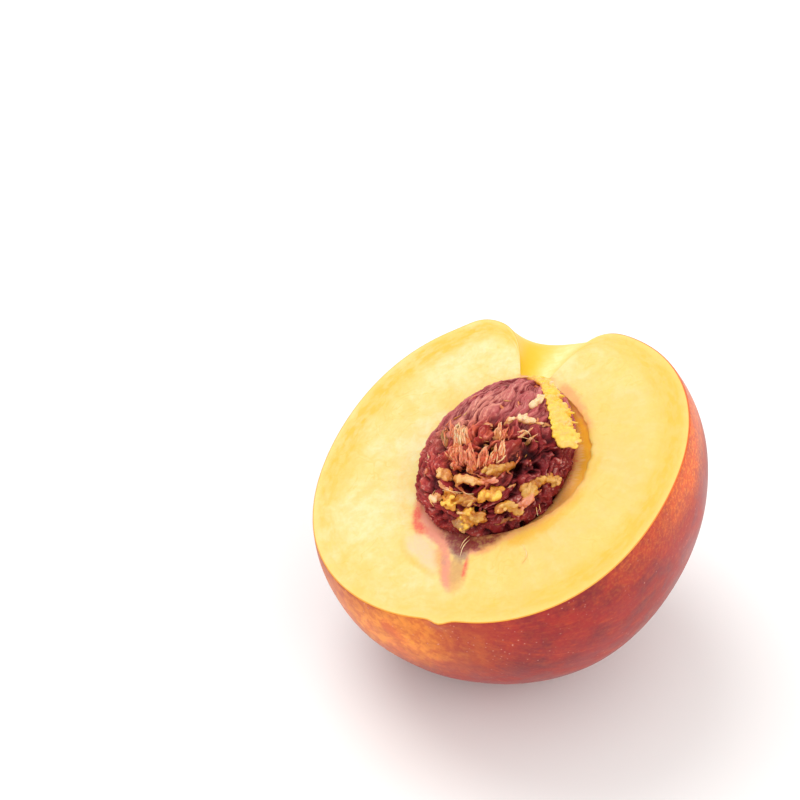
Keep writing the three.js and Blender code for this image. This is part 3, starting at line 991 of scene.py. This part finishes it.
# The fringe: where it leaves the stone, and its torn free edge, from the stem end to the widest part.
keelFringe = [
    ((-1.0, 15.6, 2.8), (0.3, 17.4, 1.6)), ((2.2, 14.9, 3.3), (3.3, 16.6, 1.6)),
    ((4.7, 12.6, 4.2), (5.6, 15.1, 1.6)), ((6.6, 10.6, 4.8), (7.6, 13.5, 1.6)),
    ((8.5, 8.6, 4.8), (9.6, 11.7, 1.6)), ((9.8, 6.6, 4.7), (11.5, 9.5, 1.8)),
    ((10.9, 4.8, 4.2), (13.1, 7.6, 2.0)), ((12.4, 3.6, 3.4), (14.5, 5.4, 2.0)),
]
# Ragged flesh that clings at the margin, each from one place to another, with its tone.
margins = [
    ((-9.2, 10.8, 0.9), (-7.8, 14.0, 1.3), "red"), ((-14.0, -0.8, 0.8), (-12.8, 2.7, 1.4), "red"),
    ((-14.0, -3.3, 0.8), (-14.0, -0.6, 1.0), "red"), ((-3.1, 16.8, 0.7), (-1.4, 17.1, 1.0), "yellow"),
    ((-0.3, 16.8, 1.8), (1.9, 15.1, 2.8), "pink"), ((1.9, 15.1, 2.9), (3.6, 12.7, 3.9), "pink"),
    ((3.6, 12.7, 3.9), (5.4, 10.6, 4.7), "pink"), ((5.4, 10.6, 4.6), (7.4, 8.2, 4.8), "pink"),
]
pulp = {
    "seed": 11, "fringeSeed": 4,  # of the random draws
    "edge": 0.985,  # places are kept inside this share of the stone's outline
    "cellArea": 0.45, "fineWidth": 0.85, "grainLean": 0.8,  # narrow scraps are a single row of lumps
    "fibreWidth": 0.16, "bristlesPerArea": 7.5,
    "fingers": 75, "knobs": 110, "threads": 30,  # of the fringe
    "marginLumps": 7, "crumbs": 60, "crumbArea": (12.6, 15.5),  # radii in mm
    "voxel": 0.13, "softening": 2, "crispSoftening": 1, "toneBlend": 0.12, "strandTip": 0.35,
    "raisedFrom": -0.2, "raisedTo": 1.5, "bristlesRaised": 0.75,  # mm above the stone, and its share
    "lumpy": 0.12, "lumpySize": 0.8, "grain": 0.07, "grainSize": 0.35,
}
tones = ("bright", "gold", "yellow", "olive", "cream", "pink", "peach", "orange", "red", "dull")


def stoneSurface(x, y):
    # the rough stone over a place in its own frame, and the way straight out of it
    narrow = 1 - stone["stemTaper"] * y / stone["halfLength"]
    flat = Vector((x / (stone["halfWidth"] * narrow), y / stone["halfLength"], 0))
    if flat.length > pulp["edge"]:
        flat *= pulp["edge"] / flat.length
    way = np.array([[flat.x, flat.y, math.sqrt(1 - flat.length_squared)]])
    point = Vector(stonePoints(way)[0][0])
    out = Vector((point.x / stone["halfWidth"] ** 2, point.y / stone["halfLength"] ** 2,
                  point.z / stone["halfThickness"] ** 2)).normalized()
    return point, out


def addStrand(curve, points, thick):
    strand = curve.splines.new("BEZIER")
    strand.bezier_points.add(len(points) - 1)
    for i, (place, point) in enumerate(zip(points, strand.bezier_points)):
        point.co = place
        point.handle_left_type = point.handle_right_type = "AUTO"
        point.radius = thick * (pulp["strandTip"] if i in (0, len(points) - 1) else 1.0)


def newStrands(name):
    curve = bpy.data.curves.new(name, "CURVE")
    curve.dimensions = "3D"
    curve.bevel_depth = 1.0
    curve.bevel_resolution = 1
    curve.resolution_u = 5
    curve.use_fill_caps = True
    return curve


def finishedMesh(holder, name):
    # an object's mesh with its modifiers on, after which the object and its data go
    mesh = bpy.data.meshes.new_from_object(holder.evaluated_get(bpy.context.evaluated_depsgraph_get()))
    mesh.name = name
    bpy.data.batch_remove([holder, holder.data])
    return mesh


class Lumps:
    # gathers rounded, tapering lumps in one mesh and remembers where each lies and its tone
    def __init__(self):
        self.shape = bmesh.new()
        self.ends, self.radii, self.tones = [], [], []

    def add(self, start, end, startRadius, endRadius, tone, out=Vector((0, 0, 1)), flat=0.8):
        axis = end - start
        side = out.cross(axis).normalized()
        up = axis.cross(side).normalized() * flat
        ball = bmesh.ops.create_icosphere(self.shape, subdivisions=2, radius=1)["verts"]
        for vert in ball:
            x, y, z = vert.co
            share = (z + 1) / 2
            radius = startRadius + (endRadius - startRadius) * share
            middle = start + axis * share + axis.normalized() * z * radius * 0.6
            vert.co = middle + (side * x + up * y) * radius
        self.ends.append((start, end))
        self.radii.append((startRadius + endRadius) / 2)
        self.tones.append(tones.index(tone))


def stoneBeside(place, u, v, lift=0.0):
    # a point of the stone's surface u along and v across from a place (x, y, turn), raised by lift,
    # and the way straight out there
    x, y, turn = place
    point, out = stoneSurface(x + u * math.cos(turn) - v * math.sin(turn),
                              y + u * math.sin(turn) + v * math.cos(turn))
    return point + out * lift, out


def addScrap(lumps, chance, x, y, length, width, angle, tone):
    draw = chance.uniform
    turn = math.radians(angle)
    thin = width < pulp["fineWidth"]
    count = max(2, round(length * width / pulp["cellArea"]))
    for i in range(count if thin else 2 * count):
        onTop = i >= count  # small juicy grains that lie aslant on the scrap's body
        u = (((i % count) + draw(0.2, 0.8)) / count - 0.5) * length * (0.95 if onTop else 0.85)
        v = draw(-0.36, 0.36) * width * math.sqrt(1.05 - (2 * u / length) ** 2)
        lean = turn + (pulp["grainLean"] if onTop else 0) + chance.gauss(0, 0.15 if thin else 0.3)
        point, out = stoneBeside((x, y, turn), u, v)
        reach = Vector((math.cos(lean), math.sin(lean), 0))
        reach *= draw(0.25, 0.5) if onTop else draw(0.4, 0.9)
        reach -= out * reach.dot(out)
        radius = 0.45 * width if thin else draw(0.5, 0.8)
        if onTop:
            point = point + out * draw(0.5, 0.8)
            radius = draw(0.3, 0.44)
        lift = out * draw(0.3, 0.9) * radius
        lumps.add(point - reach, point + lift + reach, radius, radius * draw(0.5, 0.9), tone, out)


def addTuft(lumps, chance, x, y, length, width, angle, tone):
    draw = chance.uniform
    tuft = (x, y, math.radians(angle))
    count = max(2, round(width / pulp["fibreWidth"]))
    for i in range(count):
        v = ((i + 0.5) / count - 0.5) * width + draw(-0.15, 0.15)
        reach = length * draw(0.35, 0.8)
        shift = draw(-0.3, 0.1) * length
        start, out = stoneBeside(tuft, shift - reach / 2, v)
        end, out = stoneBeside(tuft, shift + reach / 2, 0.5 * v, draw(0.0, 0.4))
        lumps.add(start, end, draw(0.34, 0.5), draw(0.1, 0.2), tone, out)


def addBristles(curve, chance, x, y, length, width, angle, tone):
    # loose fibres over a tuft, drawing together towards its far end; gives the tone of each
    draw = chance.uniform
    tuft = (x, y, math.radians(angle))
    near = {"orange": "peach", "red": "orange", "dull": "red", "cream": "yellow", "peach": "pink"}[tone]
    hues = []
    for _ in range(round(length * width * pulp["bristlesPerArea"])):
        v = draw(-0.55, 0.55) * width
        begin = draw(-0.55, 0.15) * length
        end = min(begin + draw(0.3, 0.6) * length, 0.6 * length)
        lift = draw(0.15, 0.6)
        sway = draw(-0.2, 0.2)
        places = []
        for share in (0.0, 0.5, 1.0):
            u = begin + (end - begin) * share
            drawn = v * (1 - 0.75 * smoothStep(-0.2, 0.6, u / length))
            place, out = stoneBeside(tuft, u, drawn + sway * share ** 2, lift + 0.5 * share * lift)
            places.append(place)
        addStrand(curve, places, draw(0.11, 0.2))
        hues.append(chance.choice([tone, tone, near]))
    return hues


def addFringe(lumps, chance):
    draw = chance.uniform
    inner = np.array([edge[0] for edge in keelFringe])
    outer = np.array([edge[1] for edge in keelFringe])
    steps = np.arange(len(keelFringe))
    out = Vector((0.5, 0.1, 0.86))

    def edges(place):
        start = Vector([np.interp(place, steps, inner[:, k]) for k in range(3)])
        end = Vector([np.interp(place, steps, outer[:, k]) for k in range(3)])
        return start, end

    last = len(keelFringe) - 1
    for i in range(pulp["fingers"]):
        place = (i + draw(0.0, 1.0)) / pulp["fingers"] * last
        start, end = edges(place)
        clump = noise.noise((place * 2.0, 3.1, 0.0))
        reach = 0.82 + 0.9 * clump + draw(-0.22, 0.16)
        tip = start + (end - start) * reach
        tip += Vector((0.25, draw(-1.1, 0.1) - 0.7 * max(0.0, clump), draw(-0.3, 0.35)))
        middle = start + (tip - start) * draw(0.4, 0.65) + Vector((0, 0, draw(0.0, 0.7)))
        tone = chance.choice(["bright", "bright", "bright", "gold"])
        thick = draw(0.38, 0.7)
        root = start - (end - start) * draw(0.0, 0.22)
        lumps.add(root, middle, draw(0.5, 0.7), thick, tone, out)
        lumps.add(middle, tip, thick, draw(0.08, 0.3), "bright", out)
    for _ in range(pulp["knobs"]):
        start, end = edges(draw(0, last))
        middle = start.lerp(end, draw(0.1, 0.85)) + Vector((0, 0, draw(0.35, 0.7)))
        reach = (end - start).normalized() * draw(0.2, 0.5)
        reach += Vector((draw(-0.2, 0.2), draw(-0.2, 0.2), 0))
        tone = chance.choice(["bright", "bright", "bright", "yellow", "cream"])
        radius = draw(0.22, 0.42)
        lumps.add(middle - reach, middle + reach, radius, draw(0.12, 0.3), tone, out)
    for _ in range(pulp["threads"]):
        start, end = edges(draw(0, last))
        away = (end - start).normalized()
        root = start - away * draw(0.1, 0.6) + Vector((0, 0, 0.15))
        tip = root + away * draw(0.7, 1.3)
        tip += Vector((draw(-0.2, 0.2), draw(-0.4, 0.2), 0.35))
        tone = chance.choice(["pink", "orange", "orange", "cream", "red"])
        lumps.add(root, tip, draw(0.24, 0.34), draw(0.08, 0.16), tone, out)


def addMargins(lumps, chance):
    draw = chance.uniform
    for start, end, tone in margins:
        start, end = Vector(start), Vector(end)
        for i in range(pulp["marginLumps"]):
            share = (i + draw(0.2, 0.8)) / pulp["marginLumps"]
            middle = start.lerp(end, share)
            reach = (end - start).normalized() * draw(0.25, 0.6)
            sideways = draw(-0.25, 0.25)
            reach += Vector((sideways, draw(-0.25, 0.25), draw(-0.1, 0.3)))
            radius = draw(0.22, 0.36)
            lumps.add(middle - reach * 0.5, middle + reach, radius, draw(0.06, 0.16), tone)


def addCrumbs(lumps, chance):
    draw = chance.uniform
    for _ in range(pulp["crumbs"]):
        x, y = draw(-11, 12.5), draw(-14, 9)
        if (x / pulp["crumbArea"][0]) ** 2 + (y / pulp["crumbArea"][1]) ** 2 > 1:
            continue
        tone = chance.choice(["pink", "pink", "olive", "cream", "red"])
        turn = math.degrees(math.atan2(y, x)) + 90 + draw(-35, 35)
        addScrap(lumps, chance, x, y, draw(0.7, 1.8), draw(0.25, 0.5), turn, tone)


def mergeLumps(lumps, name, softening):
    # one skin over all the lumps
    mesh = bpy.data.meshes.new(name + "Lumps")
    lumps.shape.to_mesh(mesh)
    lumps.shape.free()
    loose = addObject(name + "Lumps", mesh)
    remesh = loose.modifiers.new("merge", "REMESH")
    remesh.mode = "VOXEL"
    remesh.voxel_size = pulp["voxel"]
    soften = loose.modifiers.new("soften", "SMOOTH")
    soften.factor = 0.5
    soften.iterations = softening
    return finishedMesh(loose, name)


def meshPoints(mesh):
    flat = np.empty(len(mesh.vertices) * 3, np.float32)
    mesh.vertices.foreach_get("co", flat)
    return flat.reshape(-1, 3).astype(float)


def writeTones(mesh, lumps):
    # how much of each tone every point has, from the lumps nearest to it
    points = meshPoints(mesh)
    near = np.full((len(tones), len(points)), 9.0)  # far from every lump to begin with
    for (start, end), radius, tone in zip(lumps.ends, lumps.radii, lumps.tones):
        start, axis = np.array(start), np.array(end - start)
        share = np.clip((points - start) @ axis / (axis @ axis), 0, 1)
        away = np.linalg.norm(points - start - share[:, None] * axis, axis=-1) - radius
        near[tone] = np.minimum(near[tone], away)
    weight = np.exp(-(near - near.min(0)) / pulp["toneBlend"])
    weight /= weight.sum(0)
    writeValues(mesh, **dict(zip(tones, weight)))


def roughen(mesh):
    points = meshPoints(mesh)
    normals = np.array([v.normal[:] for v in mesh.vertices])
    rough = pulp["lumpy"] * grain(points, pulp["lumpySize"], 4)
    rough = rough + pulp["grain"] * grain(points, pulp["grainSize"], 9)
    moved = points + normals * rough[:, None]
    mesh.vertices.foreach_set("co", moved.astype(np.float32).ravel())


def makeScraps():
    chance = random.Random(pulp["seed"])
    lumps = Lumps()
    for scrap in scraps:
        addScrap(lumps, chance, *scrap)
    for tuft in tufts:
        addTuft(lumps, chance, *tuft)
    addMargins(lumps, chance)
    addCrumbs(lumps, chance)
    finishPulp(lumps, "fleshScraps", pulp["softening"])
    makeBristles(chance)
    fringe = Lumps()
    addFringe(fringe, random.Random(pulp["fringeSeed"]))
    finishPulp(fringe, "keelFringe", pulp["crispSoftening"])


def makeBristles(chance):
    curve = newStrands("bristleStrands")
    hues = []
    for tuft in tufts:
        hues += addBristles(curve, chance, *tuft)
    mesh = finishedMesh(addObject("bristleStrands", curve), "tuftBristles")
    owner = np.arange(len(mesh.vertices)) * len(hues) // len(mesh.vertices)
    owned = np.array([tones.index(hue) for hue in hues])[owner]
    writeValues(mesh, **{tone: (owned == i).astype(float) for i, tone in enumerate(tones)})
    writeValues(mesh, raised=np.full(len(owner), pulp["bristlesRaised"]))
    placePulp(mesh, "tuftBristles")


def finishPulp(lumps, name, softening):
    mesh = mergeLumps(lumps, name, softening)
    writeTones(mesh, lumps)
    roughen(mesh)
    bare = meshPoints(mesh)
    narrow = 1 - stone["stemTaper"] * bare[:, 1] / stone["halfLength"]
    size = xyz(stone["halfWidth"] * narrow, stone["halfLength"], stone["halfThickness"] * narrow)
    height = (1 - 1 / np.linalg.norm(bare / size, axis=-1)) * np.linalg.norm(bare, axis=-1)
    writeValues(mesh, raised=smoothStep(pulp["raisedFrom"], pulp["raisedTo"], height))
    placePulp(mesh, name)


def placePulp(mesh, name):
    points = seated(meshPoints(mesh))
    mesh.vertices.foreach_set("co", points.astype(np.float32).ravel())
    mesh.transform(partFromFruit)
    mesh.shade_smooth()
    finishPiece(mesh, name, [], [pulpMaterial(name)])


pulpLook = {
    "bright": (0.92, 0.58, 0.045), "gold": (0.87, 0.55, 0.085), "yellow": (0.78, 0.45, 0.15),
    "olive": (0.60, 0.31, 0.055), "cream": (0.86, 0.60, 0.34), "pink": (0.72, 0.26, 0.16),
    "peach": (0.95, 0.54, 0.28), "orange": (0.94, 0.39, 0.19), "red": (0.84, 0.22, 0.11),
    "dull": (0.40, 0.19, 0.06),
    # patch is a random mottle; low is painted shade where the flesh lies close to the stone
    "patch": (0.85, 0.45, 0.20), "low": (0.80, 0.50, 0.28),  # these two multiply the rest
}


def pulpMaterial(name):
    look = pulpLook
    made, tree, shader, place = newMaterial(name + " flesh")
    colour = layered(tree, look[tones[0]], *[(mask(tree, tone), look[tone]) for tone in tones[1:]])
    patches = mottled(tree, place, 0.0010, 0.42, 0.66, 5)
    colour = blend(tree, times(tree, patches, 0.3), colour, look["patch"], "MULTIPLY")
    raised = mask(tree, "raised")
    # painted shade: darker where the flesh lies low against the stone
    colour = blend(tree, between(tree, raised, 0.65, 0.05), colour, look["low"], "MULTIPLY")
    # painted highlight: the highest tops are lightened towards cream
    colour = blend(tree, between(tree, raised, 0.75, 1.0, 0.0, 0.16), colour, look["cream"])
    fill(tree, shader, {
        "Base Color": colour, "Roughness": between(tree, patches, 0.0, 1.0, 0.28, 0.45),
        "Normal": relieved(tree, place, 0.0005, 0.0001, 0.4),
        "Subsurface Weight": 0.3, "Subsurface Radius": (1.0, 0.5, 0.12), "Subsurface Scale": 0.0012})
    return made


makeScraps()


# Fibres on the cut face, given one by one as points in the face with heights, in mm.
faceFibres = [
    [(-0.8, -19.1, 0.15), (-0.7, -17.2, 0.5), (-0.2, -15.6, 0.3)],
    [(-1.4, -17.4, 0.1), (-0.9, -16.2, 0.6), (-0.4, -14.9, 0.4)],
    [(9.6, -7.1, 0.5), (10.1, -8.1, 0.7), (10.5, -9.1, 0.1)],
    [(10.1, -6.8, 0.6), (10.5, -7.6, 0.7), (10.8, -8.3, 0.2)],
    [(9.8, -15.3, 0.1), (11.3, -17.4, 0.12), (11.0, -19.1, 0.08)],
]
stoneFibres = [
    [(-3.0, -12.6, 0.5), (-1.2, -12.9, 0.8), (0.8, -12.6, 0.5)],
    [(-2.6, -12.3, 0.4), (-0.9, -12.4, 0.7), (1.3, -12.2, 0.3)],
    [(-5.2, -13.3, 0.3), (-4.2, -13.9, 0.6), (-3.6, -14.6, 0.3)],
    [(-5.6, -12.6, 0.2), (-4.7, -13.4, 0.5), (-4.0, -14.3, 0.3)],
    [(5.6, 1.6, 0.4), (6.8, 2.3, 0.7), (8.2, 2.4, 0.4)],
    [(6.6, 0.9, 0.3), (7.9, 1.8, 0.6), (9.4, 1.9, 0.4)],
    [(1.0, -12.0, 0.3), (2.2, -12.2, 0.6), (3.4, -11.7, 0.3)],
]
fibre = {"thick": 0.08, "pale": (0.93, 0.72, 0.38), "golden": (0.88, 0.48, 0.14)}


def makeFibres():
    curve = newStrands("fibreStrands")
    for points in faceFibres:
        addStrand(curve, [Vector(p) for p in points], fibre["thick"])
    for points in stoneFibres:
        placed = []
        for x, y, lift in points:
            point, out = stoneSurface(x, y)
            placed.append(Vector(seated(np.array(point + out * lift))))
        addStrand(curve, placed, fibre["thick"])
    mesh = finishedMesh(addObject("fibreStrands", curve), "fleshFibres")
    mesh.transform(partFromFruit)
    finishPiece(mesh, "fleshFibres", [], [fibreMaterial()])


def fibreMaterial():
    made, tree, shader, place = newMaterial("flesh fibre")
    fill(tree, shader, {
        "Base Color": blend(tree, mottled(tree, place, 0.003), fibre["pale"], fibre["golden"]),
        "Roughness": between(tree, mottled(tree, place, 0.001), 0.0, 1.0, 0.35, 0.5)})
    return made


makeFibres()
